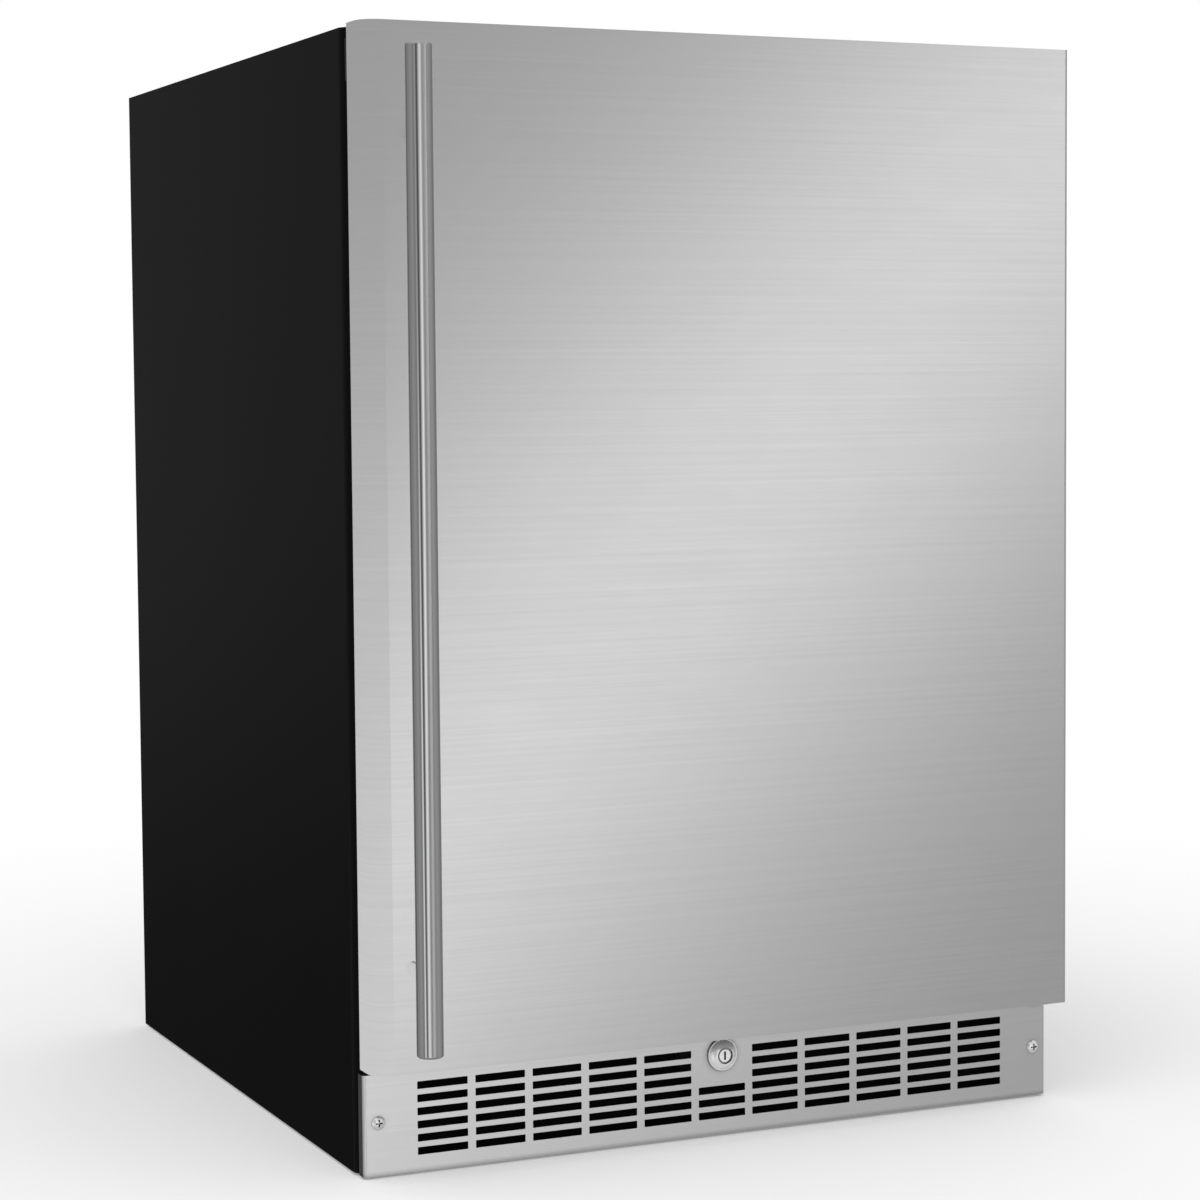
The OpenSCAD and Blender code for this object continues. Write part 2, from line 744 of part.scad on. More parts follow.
module evaporator() color("#dfe3e6") placed() {
    rows = 8;
    pitch = 46;
    plate_t = 1.6;
    channel_t = 6;
    foot_r = 6;
    foot_in = 12;
    difference() {
        union() {
            block([-evap_hw, evap_y - plate_t / 2, evap_z0], [evap_hw, evap_y + plate_t / 2, evap_z1]);
            translate([0, evap_y + channel_t / 2, (evap_z0 + evap_z1 - (rows - 1) * pitch) / 2])
                rotate([90, 0, 0]) linear_extrude(channel_t) serpentine_flat(evap_hw - 45, rows, pitch, 9);
            for (sx = [-1, 1], z = [evap_z0 + foot_in, evap_z1 - foot_in])
                rod_y(sx * (evap_hw - 9), z, evap_y, cav_y1 - seat, foot_r);
        }
        for (sx = [-1, 1], z = [evap_z0 + foot_in, evap_z1 - foot_in])
            rod_y(sx * (evap_hw - 9), z, evap_y - 5, cav_y1 - 3, 2);
    }
}

module drip_pan() color(grey) placed() difference() {
    z0 = comp_z0 + comp_h + seat;
    block([comp_x - 62, comp_y - 50, z0], [comp_x + 62, rear_y - 14, z0 + 18]);
    block([comp_x - 60, comp_y - 48, z0 + 2], [comp_x + 60, rear_y - 16, z0 + 20]);
}

module drain_tube() color(grey) placed() difference() {
    translate([drain_x, drain_y, 205]) cylinder(h = 88, r = drain_r);
    translate([drain_x, drain_y, 200]) cylinder(h = 100, r = drain_r - 1.2);
}

module air_divider() color("#c7c4b8") placed() {
    block([-3, 30, pan_top + seat], [3, mach_y0, duct_top - seat]);
}

// ---------- controls ----------

module control_housing() color(white) placed() difference() {
    t = 2;
    block([-box_hw, box_y0, box_z0], [box_hw, box_y1, cav_z1 - seat]);
    block([-box_hw + t, box_y0 + t, box_z0 + t], [box_hw - t, box_y1 - t, cav_z1 + 1]);
    block([-70, box_y0 + 18, box_z0 - 1], [60, box_y1 - 18, box_z0 + t + 1]);
    rod_y(knob_x, control_z, box_y0 - 1, box_y0 + t + 1, shaft_r + 0.5);
    rod_y(switch_x, control_z, box_y0 - 1, box_y0 + t + 1, plunger_r + 0.5);
}

module lamp_lens() color("#f4f6ef") placed() difference() {
    block([-69.8, box_y0 + 18.2, box_z0 - 3], [59.8, box_y1 - 18.2, box_z0 + 1.8]);
    block([-67.8, box_y0 + 20.2, box_z0 - 1.2], [57.8, box_y1 - 20.2, box_z0 + 2]);
}

module thermostat() color(grey) placed() {
    y = box_y0 + 2 + seat;
    block([knob_x - 16, y, control_z - 11], [knob_x + 16, y + 26, control_z + 11]);
    rod_y(knob_x, control_z, box_y0 - 9, y + 1, shaft_r);
}

module thermostat_knob() color("#f7f7f5") placed() difference() {
    union() {
        rod_y(knob_x, control_z, box_y0 - 6, box_y0 - 0.6, 14);
        rod_y(knob_x, control_z, box_y0 - 13, box_y0 - 5.5, 11);
    }
    for (a = [0:30:359]) translate([knob_x, 0, control_z]) rotate([0, a, 0])
        rod_y(0, 12.3, box_y0 - 14, box_y0 - 6, 2);
    rod_y(knob_x, control_z, box_y0 - 10, box_y0, shaft_r + run_gap);
    block([knob_x - 0.8, box_y0 - 14, control_z + 3], [knob_x + 0.8, box_y0 - 12, control_z + 12]);
}

module door_switch() color(grey) placed() difference() {
    block([switch_x - 12, box_y0 + 2 + seat, control_z - 9], [switch_x + 12, box_y0 + 32, control_z + 9]);
    rod_y(switch_x, control_z, box_y0, box_y0 + 27, plunger_r + run_gap);
}

module switch_plunger() color(white) placed()
    rod_y(switch_x, control_z, -door_gap + 0.3, box_y0 + 22, plunger_r);

// ---------- back and base ----------

module rear_cover() color(zinc) placed() difference() {
    z0 = pan_top + seat;
    z1 = mach_top - seat;
    union() {
        block([-half_w + 3, rear_y, z0], [half_w - 3, rear_y + sheet_t, z1]);
        for (sx = [-1, 1])
            block([sx * (half_w - 3.5) - 0.4, rear_y, z0], [sx * (half_w - 3.5) + 0.4, cab_d - 1, z1]);
    }
    for (x = [-240:48:240], z = [70:18:180]) translate([x, rear_y - 1, z]) rotate([-90, 0, 0])
        linear_extrude(3) soft_square(38, 7, 3.4);
    rod_y(cord_x, cord_z, rear_y - 2, rear_y + 3, gland_r);
}

// Cord through the rear cover, hung in flat loops behind it, with a moulded plug at its end
module power_cord() color("#1b1b1c") placed() {
    y = rear_y + 12;
    cord_r = 3.6;
    plug_z = 90;
    pipe([
        [cord_x, rear_y - 6, cord_z], [cord_x, y, cord_z], [-146, y, cord_z], [-146, y, 168], [140, y, 168],
        [140, y, 66], [-132, y, 66], [-132, y, 156], [128, y, 156], [128, y, plug_z], [-40, y, plug_z]
    ], cord_r, 9);
    rod_y(cord_x, cord_z, rear_y - 2.5, rear_y - 0.1, gland_r + 2.5);
    rod_y(cord_x, cord_z, rear_y + sheet_t + 0.1, rear_y + 4.5, gland_r + 2.5);
    rod_y(cord_x, cord_z, rear_y - 2.5, rear_y + 4, gland_r - seat);
    block([-76, y - 9, plug_z - 10], [-39, y + 9, plug_z + 10]);
    block([-82, y - 11, plug_z - 12], [-75, y + 11, plug_z + 12]);
    for (z = [plug_z - 6, plug_z + 5]) block([-100, y - 3.2, z - 0.8], [-81, y + 3.2, z + 0.8]);
}

module foot(x, y) color(grey) placed() translate([x, y, 0]) {
    cylinder(h = 4, r = 18);
    translate([0, 0, 3.9]) cylinder(h = 6.1, r = 12, $fn = 6);
    cylinder(h = 62, r = stud_r);
}

module foot_front_left() foot(-foot_x, foot_front_y);
module foot_front_right() foot(foot_x, foot_front_y);
module foot_rear_left() foot(-foot_x, foot_rear_y);
module foot_rear_right() foot(foot_x, foot_rear_y);

// ---------- shelves and drawer ----------

module shelf_glass(z) color(clear) placed()
    block([-shelf_hw + 6, shelf_y0 + 3, z + 4], [shelf_hw - 6, shelf_y1 - 3, z + 4 + glass_t]);

// Plastic frame that grips the glass on all four sides
module shelf_frame(z) color(white) placed() difference() {
    h = glass_t + 7;
    block([-shelf_hw, shelf_y0, z + 0.1], [shelf_hw, shelf_y1, z + h]);
    block([-shelf_hw + 14, shelf_y0 + 12, z - 1], [shelf_hw - 14, shelf_y1 - 12, z + h + 1]);
    block([-shelf_hw + 5.9, shelf_y0 + 2.9, z + 3.9], [shelf_hw - 5.9, shelf_y1 - 2.9, z + 4.1 + glass_t]);
}

module upper_shelf_glass() shelf_glass(upper_shelf_z);
module upper_shelf_frame() shelf_frame(upper_shelf_z);
module lower_shelf_glass() shelf_glass(lower_shelf_z);
module lower_shelf_frame() shelf_frame(lower_shelf_z);

module crisper_cover() color(clear) placed()
    block([-shelf_hw, 80, step_z + 0.2], [shelf_hw, 505, step_z + 0.2 + glass_t]);

module crisper_drawer() color(clear) placed() difference() {
    t = 2.5;
    front = 74;
    back = floor_d - 9;
    z0 = cav_z0 + 0.4;
    z1 = step_z - 8;
    union() {
        block([-drawer_hw, front, z0], [drawer_hw, back, z1]);
        block([-drawer_hw, front - 10, z1 - 14], [drawer_hw, front + 1, z1]);
    }
    block([-drawer_hw + t, front + t, z0 + t], [drawer_hw - t, back - t, z1 + 1]);
    block([-drawer_hw + 3, front - 7.5, z1 - 15], [drawer_hw - 3, front + eps, z1 - 3]);
}

// ---------- door ----------

module door_skin() color(steel) placed() difference() {
    translate([0, 0, door_z0]) linear_extrude(door_z1 - door_z0) difference() {
        door_outline();
        door_outline(sheet_t);
        translate([-half_w + 12, -door_gap - 3]) square([2 * half_w - 24, 6]);
    }
    block([pin_x - 9, pin_y - leaf_r - 0.8, pocket_z], [half_w + 1, 0, door_z1 + 1]);
    for (z = post_zs()) rod_y(handle_x, z, door_face_y - 2, door_face_y + 3, 4.2);
}

function post_zs() = [
    door_z0 + handle_end + 60,
    door_z1 - handle_end - 60
];

module door_foam() color("#e9dfb4") placed() difference() {
    translate([0, 0, door_z0 + cap_inset + cap_t + seat])
        linear_extrude(door_z1 - door_z0 - 2 * (cap_inset + cap_t + seat)) difference() {
            door_outline(foam_inset);
            translate([-half_w, -door_gap - 3]) square([2 * half_w, 4]);
        }
    for (z = post_zs()) rod_y(handle_x, z, door_face_y - 2, door_face_y + 20, 4.6);
    for (z = [door_z0, door_z1 - 20]) translate([pin_x, pin_y, z - 1]) cylinder(h = 22, r = bush_r + 0.5);
}

module door_liner() color(white) placed() {
    plate_hw = half_w - 12.5;
    z0 = door_z0 + cap_inset + cap_t + seat;
    z1 = door_z1 - cap_inset - cap_t - seat;
    y0 = -door_gap - 2.8;
    difference() {
        union() {
            block([-plate_hw, y0, z0], [plate_hw, -door_gap, z1]);
            for (sx = [-1, 1]) block(
                [sx * (ridge_hw - ridge_w / 2) - ridge_w / 2, y0, ridge_z0],
                [sx * (ridge_hw - ridge_w / 2) + ridge_w / 2, ridge_out, ridge_z1]
            );
            for (sx = [-1, 1], z = [upper_bin_z + lug_rise, lower_bin_z + lug_rise]) block(
                [sx * (ridge_hw - ridge_w) - (sx > 0 ? lug_w : eps), lug_y0, z],
                [sx * (ridge_hw - ridge_w) + (sx > 0 ? eps : lug_w), lug_y1, z + lug_h]
            );
        }
        for (sx = [-1, 1]) block(
            [sx * (ridge_hw - ridge_w / 2) - ridge_w / 2 + liner_t, y0 - 1, ridge_z0 + liner_t],
            [sx * (ridge_hw - ridge_w / 2) + ridge_w / 2 - liner_t, ridge_out - liner_t, ridge_z1 - liner_t]
        );
    }
}

module door_gasket() color("#101010") placed() difference() {
    y0 = -door_gap + 0.05;
    block([-seal_hw - seal_w, y0, seal_z0 - seal_w + 8], [seal_hw + seal_w, -0.3, seal_z1 + seal_w - 8]);
    block([-seal_hw, y0 - 1, seal_z0 + 8], [seal_hw, 1, seal_z1 - 8]);
}

module end_cap(z0, z1) translate([0, 0, z0]) linear_extrude(z1 - z0) door_outline(foam_inset);

module door_end_caps() color("#2a2b2d") placed() {
    difference() {
        end_cap(door_z1 - cap_inset - cap_t, door_z1 - cap_inset);
        block([pin_x - 9, pin_y - leaf_r - 0.8, pocket_z], [half_w + 1, 0, door_z1 + 1]);
        translate([pin_x, pin_y, door_z1 - 30]) cylinder(h = 40, r = bush_r + 0.02);
    }
    difference() {
        end_cap(door_z0 + cap_inset, door_z0 + cap_inset + cap_t);
        block([-cam_slot_hw, cam_y - 1.2, door_z0 - 1], [cam_slot_hw, 0, door_z0 + 12]);
        translate([pin_x, pin_y, door_z0 - 10]) cylinder(h = 40, r = bush_r + 0.02);
    }
}

module hinge_bushes() color(white) placed() for (z = [door_z0 + cap_inset, pocket_z - bush_len])
    translate([pin_x, pin_y, z]) difference() {
        cylinder(h = bush_len, r = bush_r);
        translate([0, 0, -1]) cylinder(h = bush_len + 2, r = pin_r + run_gap);
    }

module handle_tube() color(steel) placed() {
    z0 = door_z0 + handle_end;
    h = door_z1 - door_z0 - 2 * handle_end;
    r = handle_d / 2;
    cap = 3;
    end_r = 2;
    translate([handle_x, handle_y, z0]) difference() {
        rotate_extrude() {
            translate([0, end_r]) square([r, h - 2 * end_r]);
            square([r - end_r, h]);
            for (z = [end_r, h - end_r]) translate([r - end_r, z]) circle(end_r);
        }
        translate([0, 0, cap]) cylinder(h = h - 2 * cap, r = r - 1.5);
        for (z = post_zs()) translate([0, 0, z - z0]) rotate([-90, 0, 0])
            cylinder(h = handle_d, r = post_r + 0.1);
    }
}

module handle_posts() color(steel) placed() for (z = post_zs()) {
    rod_y(handle_x, z, handle_y + 2, door_face_y - 0.02, post_r);
    rod_y(handle_x, z, door_face_y - 1, door_face_y + 14, 4);
}

module lock_strike() color(zinc) placed() difference() {
    block([-20, -door_gap + 0.05, door_z0 + 1.5], [20, -door_gap + 1.55, door_z0 + 21]);
    for (x = [-13, 13]) rod_y(x, door_z0 + 16, -20, 5, 1.8);
}

module door_bin(z0, h) color(clear) placed() difference() {
    back = -door_gap + 0.4;
    union() {
        block([-bin_hw, back, z0], [bin_hw, bin_out, z0 + h]);
        block([-bin_hw, bin_out - 4, z0 + h - 8], [bin_hw, bin_out + 3, z0 + h]);
    }
    block([-bin_hw + bin_t, back + bin_t, z0 + bin_t], [bin_hw - bin_t, bin_out - bin_t, z0 + h + 1]);
    notch_z = z0 + lug_rise + lug_h + 0.5;
    for (sx = [-1, 1])
        block([sx * bin_hw - 4, lug_y0 - 0.6, z0 - 1], [sx * bin_hw + 4, lug_y1 + 0.6, notch_z]);
}

module upper_bin() door_bin(upper_bin_z, upper_bin_h);
module lower_bin() door_bin(lower_bin_z, lower_bin_h);

outer_wrap();
back_panel();
cabinet_foam();
inner_liner();
front_sill();
base_pan();
toe_grille();
grille_spacers();
grille_screws();
lock_body();
lock_plug();
lock_cam();
upper_hinge();
lower_hinge();
hinge_pins();
hinge_screws();
hinge_hole_cover();
compressor();
compressor_grommets();
terminal_cover();
condenser_fins();
condenser_tube();
fan_shroud();
fan_motor();
fan_blade();
filter_drier();
refrigerant_tubes();
evaporator();
drip_pan();
drain_tube();
control_housing();
lamp_lens();
thermostat();
thermostat_knob();
door_switch();
switch_plunger();
rear_cover();
power_cord();
air_divider();
foot_front_left();
foot_front_right();
foot_rear_left();
foot_rear_right();
upper_shelf_glass();
upper_shelf_frame();
lower_shelf_glass();
lower_shelf_frame();
crisper_cover();
crisper_drawer();
door_skin();
door_foam();
door_liner();
door_gasket();
door_end_caps();
hinge_bushes();
handle_tube();
handle_posts();
lock_strike();
upper_bin();
lower_bin();
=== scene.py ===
import json
import math

import bmesh
import bpy
from mathutils import Matrix, Vector, noise


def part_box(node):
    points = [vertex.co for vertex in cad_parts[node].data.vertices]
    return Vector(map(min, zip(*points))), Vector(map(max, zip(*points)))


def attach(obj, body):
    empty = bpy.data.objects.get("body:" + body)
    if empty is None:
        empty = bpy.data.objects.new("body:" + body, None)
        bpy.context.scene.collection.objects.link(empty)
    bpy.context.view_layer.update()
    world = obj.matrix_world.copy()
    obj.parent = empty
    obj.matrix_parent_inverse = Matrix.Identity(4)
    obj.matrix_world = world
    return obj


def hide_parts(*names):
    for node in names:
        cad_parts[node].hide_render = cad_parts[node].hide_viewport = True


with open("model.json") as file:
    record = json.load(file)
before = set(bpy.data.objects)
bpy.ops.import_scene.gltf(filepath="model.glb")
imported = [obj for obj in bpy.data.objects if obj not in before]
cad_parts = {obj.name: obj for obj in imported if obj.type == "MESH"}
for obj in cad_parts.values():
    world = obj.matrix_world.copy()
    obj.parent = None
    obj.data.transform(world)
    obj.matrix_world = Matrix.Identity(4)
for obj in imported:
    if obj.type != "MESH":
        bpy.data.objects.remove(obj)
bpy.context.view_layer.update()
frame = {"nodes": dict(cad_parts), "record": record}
NODES = frame["nodes"]
MM = 0.001

# The camera stands in front and to the left, a little above the middle of the door
CAMERA_AZIMUTH = 24.27
CAMERA_PITCH = 3.68
CAMERA_ROLL = -0.46
CAMERA_LENS = 88.8
CAMERA_SHIFT = -0.025
CAMERA_FROM_FACE = (-1.0366, -2.0826, 0.5995)


# ---------- shader helpers ----------

class Shader:
    """A material's node tree with short calls for the nodes that the materials below share."""

    def __init__(self, name):
        self.material = bpy.data.materials.new(name)
        self.material.use_nodes = True
        self.tree = self.material.node_tree
        self.bsdf = self.tree.nodes["Principled BSDF"]
        self.coordinates = self.node("ShaderNodeTexCoord")
        self.place = self.coordinates.outputs["Object"]

    def node(self, kind, **values):
        made = self.tree.nodes.new(kind)
        for key, value in values.items():
            setattr(made, key, value)
        return made

    def link(self, source, target):
        self.tree.links.new(source, target)

    def set(self, name, value):
        socket = self.bsdf.inputs[name]
        if isinstance(value, bpy.types.NodeSocket):
            self.link(value, socket)
        elif isinstance(value, tuple) and len(value) == 3 and socket.type == "RGBA":
            socket.default_value = (*value, 1)
        else:
            socket.default_value = value

    def in_world(self, direction):
        """A direction fixed to the object, in world axes."""
        made = self.node(
            "ShaderNodeVectorTransform", vector_type="NORMAL", convert_from="OBJECT", convert_to="WORLD"
        )
        made.inputs[0].default_value = direction
        return made.outputs[0]

    def stretched(self, scale):
        mapping = self.node("ShaderNodeMapping")
        mapping.inputs["Scale"].default_value = scale
        self.link(self.place, mapping.inputs["Vector"])
        return mapping.outputs["Vector"]

    def noise(self, scale, stretch=(1, 1, 1), detail=3.0, roughness=0.55):
        made = self.node("ShaderNodeTexNoise")
        made.inputs["Scale"].default_value = scale
        made.inputs["Detail"].default_value = detail
        made.inputs["Roughness"].default_value = roughness
        self.link(self.stretched(stretch), made.inputs["Vector"])
        return made.outputs["Fac"]

    def maths(self, operation, first, second=None):
        """Arithmetic on one or two sockets."""
        made = self.node("ShaderNodeMath", operation=operation)
        self.link(first, made.inputs[0])
        if second is not None:
            self.link(second, made.inputs[1])
        return made.outputs[0]

    def remap(self, value, low, high, from_low=0.3, from_high=0.7):
        """Low at from_low, high at from_high. A noise stays mostly between 0.3 and 0.7."""
        made = self.node("ShaderNodeMapRange")
        made.inputs["From Min"].default_value = from_low
        made.inputs["From Max"].default_value = from_high
        made.inputs["To Min"].default_value = low
        made.inputs["To Max"].default_value = high
        self.link(value, made.inputs["Value"])
        return made.outputs["Result"]

    def colours(self, value, first, second):
        made = self.node("ShaderNodeMix", data_type="RGBA")
        made.inputs[6].default_value = (*first, 1)
        made.inputs[7].default_value = (*second, 1)
        self.link(value, made.inputs[0])
        return made.outputs[2]

    def painted_corner_shade(self, unshaded_colour, reach, full_shade_at, no_shade_at):
        """Painted shade: nearly black where other surfaces crowd in closer than the reach, and unshaded in
        the open.
        """
        crowding = self.node("ShaderNodeAmbientOcclusion", samples=8)
        crowding.inputs["Distance"].default_value = reach
        made = self.node("ShaderNodeMix", data_type="RGBA")
        made.inputs[6].default_value = (0.01, 0.01, 0.01, 1)
        self.link(self.remap(crowding.outputs["AO"], 0, 1, full_shade_at, no_shade_at), made.inputs[0])
        self.link(unshaded_colour, made.inputs[7])
        return made.outputs[2]

    def bump(self, height, strength, distance=0.0002, under=None):
        made = self.node("ShaderNodeBump")
        made.inputs["Strength"].default_value = strength
        made.inputs["Distance"].default_value = distance
        self.link(height, made.inputs["Height"])
        if under is not None:
            self.link(under, made.inputs["Normal"])
        self.link(made.outputs["Normal"], self.bsdf.inputs["Normal"])
        return made.outputs["Normal"]


# ---------- materials ----------

# The edge turns this far from the front to the left in its shading, so that it mirrors the studio's window
EDGE_TURN = math.radians(39.5)
# Cosines of the view angle to the door between which that shading fades in
VIEW_ASIDE, VIEW_AHEAD = 0.84, 0.9


def front_normal(s, whole=False):
    """Seen nearly from in front, shades the left edge, or the whole piece, to match the door's face."""
    true = s.node("ShaderNodeNewGeometry")
    directions = (0, -1, 0), (-math.sin(EDGE_TURN), -math.cos(EDGE_TURN), 0)
    straight, turned = (s.in_world(direction) for direction in directions)
    facing = s.node("ShaderNodeVectorMath", operation="DOT_PRODUCT")
    s.link(straight, facing.inputs[0])
    s.link(true.outputs["Incoming"], facing.inputs[1])
    share = s.remap(facing.outputs["Value"], 0, 1, VIEW_ASIDE, VIEW_AHEAD)
    if not whole:
        side = s.node("ShaderNodeSeparateXYZ")
        s.link(s.coordinates.outputs["Normal"], side.inputs[0])
        upright = s.remap(s.maths("ABSOLUTE", side.outputs["Z"]), 1, 0, 0.2, 0.5)
        left = s.remap(side.outputs["X"], 1, 0, -0.02, 0)
        share = s.maths("MULTIPLY", share, s.maths("MULTIPLY", left, upright))
    mixed = s.node("ShaderNodeMix", data_type="VECTOR")
    s.link(share, mixed.inputs[0])
    s.link(true.outputs["Normal"], mixed.inputs[4])
    s.link(turned, mixed.inputs[5])
    unit = s.node("ShaderNodeVectorMath", operation="NORMALIZE")
    s.link(mixed.outputs[1], unit.inputs[0])
    return unit.outputs[0]


def brushed_steel(name, tone=0.62, grain=(5, 5, 2200), roughness=0.22, anisotropy=0.3, turn=0.25,
                  flat="", worn=0.0, crevice=0.0):
    """Stainless steel: long fine scratches along the brushing, and slow drift in tone and gloss.
    flat is "left edge" or "whole" for a door part that should melt into the door's face.
    worn is extra roughness along the front of a tube. Corners get painted shade, darkening up to crevice
    metres away."""
    s = Shader(name)
    fine = s.noise(1.0, grain, detail=4, roughness=0.7)
    cloud = s.noise(2.2, (1, 1, 1), detail=2)
    grime = s.noise(14, (1, 1, 2.5), detail=5)
    streaks = s.noise(1.0, (grain[0] * 0.3, grain[1] * 0.3, grain[2] * 0.2), detail=4, roughness=0.7)
    unshaded_colour = s.colours(s.remap(streaks, 0, 1, 0.25, 0.75), (tone * 0.975,) * 3, (tone * 1.025,) * 3)
    # Painted shade in corners and recesses, when crevice is set
    s.set("Base Color", s.painted_corner_shade(unshaded_colour, crevice, 0.25, 1.0) if crevice else unshaded_colour)
    gloss = s.maths(
        "ADD", s.remap(fine, roughness - 0.015, roughness + 0.015), s.remap(grime, -0.004, 0.006)
    )
    rubbed = s.node("ShaderNodeSeparateXYZ")
    s.link(s.coordinates.outputs["Normal"], rubbed.inputs[0])
    s.set("Roughness", s.maths("ADD", gloss, s.remap(rubbed.outputs["Y"], worn, 0, -1, -0.955)))
    s.set("Metallic", 1.0)
    s.set("Anisotropic", anisotropy)
    s.set("Anisotropic Rotation", turn)
    direction = s.node("ShaderNodeTangent", direction_type="RADIAL", axis="Z")
    s.link(direction.outputs["Tangent"], s.bsdf.inputs["Tangent"])
    under = s.bump(cloud, 0.003, 0.001, front_normal(s, flat == "whole") if flat else None)
    s.bump(fine, 0.012, 0.0001, under)
    return s.material


def black_paint(name):
    """Satin black coating with orange peel and faint clouds."""
    s = Shader(name)
    tone, gloss = 0.001, 0.32
    peel = s.noise(420, detail=2)
    cloud = s.noise(6, detail=4)
    s.set("Base Color", s.colours(s.remap(cloud, 0, 1), (tone * 0.8,) * 3, (tone * 1.25,) * 3))
    s.set("Roughness", s.remap(cloud, gloss - 0.015, gloss + 0.02))
    s.set("Specular IOR Level", 0.085)
    s.bump(peel, 0.06, 0.0002)
    return s.material


def zinc_sheet(name):
    """Galvanised sheet with its patchwork of crystals."""
    s = Shader(name)
    tone = 0.5
    cells = s.node("ShaderNodeTexVoronoi")
    cells.inputs["Scale"].default_value = 90
    s.link(s.place, cells.inputs["Vector"])
    grey = s.node("ShaderNodeRGBToBW")
    s.link(cells.outputs["Color"], grey.inputs["Color"])
    drift = s.noise(5, detail=4)
    crystals = s.remap(grey.outputs[0], 0, 1, 0.1, 0.9)
    s.set("Base Color", s.colours(crystals, (tone * 0.93,) * 3, (tone * 1.05,) * 3))
    s.set("Roughness", s.remap(drift, 0.38, 0.5))
    s.set("Metallic", 0.85)
    s.bump(grey.outputs[0], 0.05, 0.0002)
    return s.material


def moulded(name, colour, roughness=0.35, texture=600, depth=0.08, specular=0.5, drift=0.04):
    """Moulded plastic or rubber with a fine skin texture."""
    s = Shader(name)
    grain = s.noise(texture, detail=3)
    cloud = s.noise(7, detail=4)
    first = tuple(c * (1 - drift) for c in colour)
    second = tuple(min(1.0, c * (1 + drift)) for c in colour)
    s.set("Base Color", s.colours(s.remap(cloud, 0, 1), first, second))
    s.set("Roughness", s.remap(cloud, roughness - drift, roughness + 1.5 * drift))
    s.set("Specular IOR Level", specular)
    s.bump(grain, depth, 0.0002)
    return s.material


def plated(name, tone, roughness, crevice=0.0, metallic=1.0, wear=0.02):
    """Bright plated or polished metal with faint handling marks. Recesses within crevice metres get painted
    shade, nearly black.
    """
    s = Shader(name)
    marks = s.noise(60, (1, 1, 6), detail=5)
    cloud = s.noise(25, detail=3)
    unshaded_colour = s.colours(s.remap(cloud, 0, 1), (tone * 0.94,) * 3, (min(1.0, tone * 1.04),) * 3)
    # Painted shade in recesses, when crevice is set
    s.set("Base Color", s.painted_corner_shade(unshaded_colour, crevice, 0.35, 0.8) if crevice else unshaded_colour)
    s.set("Roughness", s.remap(marks, roughness * 0.8, roughness * 1.4))
    s.set("Metallic", metallic)
    s.bump(marks, wear, 0.0001)
    return s.material


def copper_tube(name):
    """Drawn copper, brighter and browner in patches."""
    s = Shader(name)
    stain = s.noise(45, (1, 1, 1), detail=6, roughness=0.65)
    patches = s.remap(stain, 0, 1, 0.35, 0.65)
    s.set("Base Color", s.colours(patches, (0.68, 0.33, 0.2), (0.42, 0.2, 0.12)))
    s.set("Roughness", s.remap(stain, 0.22, 0.48))
    s.set("Metallic", 1.0)
    s.bump(stain, 0.04, 0.0001)
    return s.material


def rigid_foam(name):
    """Sawn polyurethane foam: pale yellow, full of small cells."""
    s = Shader(name)
    cells = s.noise(350, detail=5, roughness=0.7)
    cloud = s.noise(8, detail=4)
    s.set("Base Color", s.colours(s.remap(cloud, 0, 1), (0.74, 0.62, 0.36), (0.84, 0.74, 0.48)))
    s.set("Roughness", 0.9)
    s.bump(cells, 0.5, 0.0005)
    return s.material


def clear(name, tint, edge, haze=0.03, roughness=0.04):
    """Glass or clear plastic: straight through, a mirror at low angles, with light smears and a little haze.
    Only the faces towards the viewer mirror, because the light isn't bent inside."""
    s = Shader(name)
    smear = s.noise(9, (1, 3, 1), detail=5)
    facing = s.node("ShaderNodeLayerWeight")
    facing.inputs["Blend"].default_value = 0.35
    through = s.node("ShaderNodeBsdfTransparent")
    s.link(s.colours(facing.outputs["Facing"], tint, edge), through.inputs["Color"])
    mirror = s.node("ShaderNodeBsdfGlossy")
    s.link(s.remap(smear, roughness, roughness + 0.08), mirror.inputs["Roughness"])
    fresnel = s.node("ShaderNodeFresnel")
    fresnel.inputs["IOR"].default_value = 1.5
    entering = s.node("ShaderNodeNewGeometry")
    outer = s.remap(entering.outputs["Backfacing"], 1, 0, 0, 1)
    body = s.node("ShaderNodeMixShader")
    s.link(s.maths("MULTIPLY", fresnel.outputs[0], outer), body.inputs[0])
    s.link(through.outputs[0], body.inputs[1])
    s.link(mirror.outputs[0], body.inputs[2])
    milk = s.node("ShaderNodeBsdfDiffuse")
    milk.inputs["Color"].default_value = (0.9, 0.93, 0.94, 1)
    whole = s.node("ShaderNodeMixShader")
    s.link(s.remap(smear, haze * 0.6, haze * 1.4), whole.inputs[0])
    s.link(body.outputs[0], whole.inputs[1])
    s.link(milk.outputs[0], whole.inputs[2])
    s.link(whole.outputs[0], s.tree.nodes["Material Output"].inputs["Surface"])
    return s.material


def lamp_diffuser(name):
    """Frosted cover that glows a little."""
    s = Shader(name)
    ribs = s.node("ShaderNodeTexWave", wave_type="BANDS", bands_direction="X")
    ribs.inputs["Scale"].default_value = 90
    s.link(s.place, ribs.inputs["Vector"])
    s.set("Base Color", s.colours(ribs.outputs["Fac"], (0.9, 0.92, 0.93), (0.97, 0.98, 0.98)))
    s.set("Roughness", 0.45)
    s.set("Emission Color", (1.0, 0.97, 0.9))
    s.set("Emission Strength", 5.0)
    s.bump(ribs.outputs["Fac"], 0.2, 0.0003)
    return s.material


